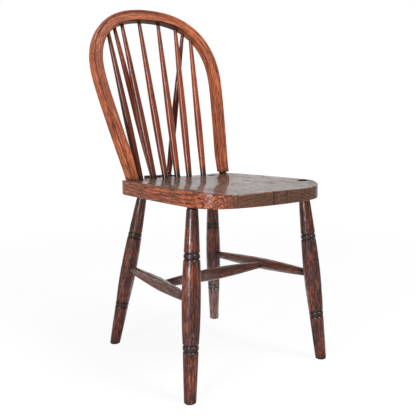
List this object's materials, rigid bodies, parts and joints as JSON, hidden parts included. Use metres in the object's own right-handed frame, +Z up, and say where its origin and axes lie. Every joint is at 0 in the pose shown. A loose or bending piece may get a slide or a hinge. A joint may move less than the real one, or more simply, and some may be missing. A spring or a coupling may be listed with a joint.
{
  "type": "hoop-back chair",
  "caption": "Wooden kitchen side chair with a bent hoop back, straight spindles, braces to a tail block, saddled seat and turned legs with stretchers.",
  "frame": {"origin": "on the floor, at the middle of the chair's footprint box", "axes": "+Z up, -Y towards the front of the seat, +X towards the right hand of someone who faces the chair's front"},
  "size_m": [0.4116, 0.5424, 0.8784],
  "materials": {
    "seat_wood": "satin",
    "hoop_wood": "satin",
    "spindle_wood": "gloss",
    "turned_wood": "gloss",
    "wedge_wood": "matte"
  },
  "bodies": {
    "root": {"seat_board": "seat_wood", "bobtail": "seat_wood", "hoop": "hoop_wood", "spindle_outer_left": "spindle_wood", "spindle_outer_right": "spindle_wood", "spindle_middle_left": "spindle_wood", "spindle_middle_right": "spindle_wood", "spindle_inner_left": "spindle_wood", "spindle_inner_right": "spindle_wood", "brace_left": "spindle_wood", "brace_right": "spindle_wood", "leg_front_left": "turned_wood", "leg_front_right": "turned_wood", "leg_back_left": "turned_wood", "leg_back_right": "turned_wood", "stretcher_left": "turned_wood", "stretcher_right": "turned_wood", "stretcher_cross": "turned_wood", "leg_wedge_front_left": "wedge_wood", "leg_wedge_front_right": "wedge_wood", "leg_wedge_back_left": "wedge_wood", "leg_wedge_back_right": "wedge_wood", "hoop_wedge_left": "wedge_wood", "hoop_wedge_right": "wedge_wood"}
  },
  "joints": []
}
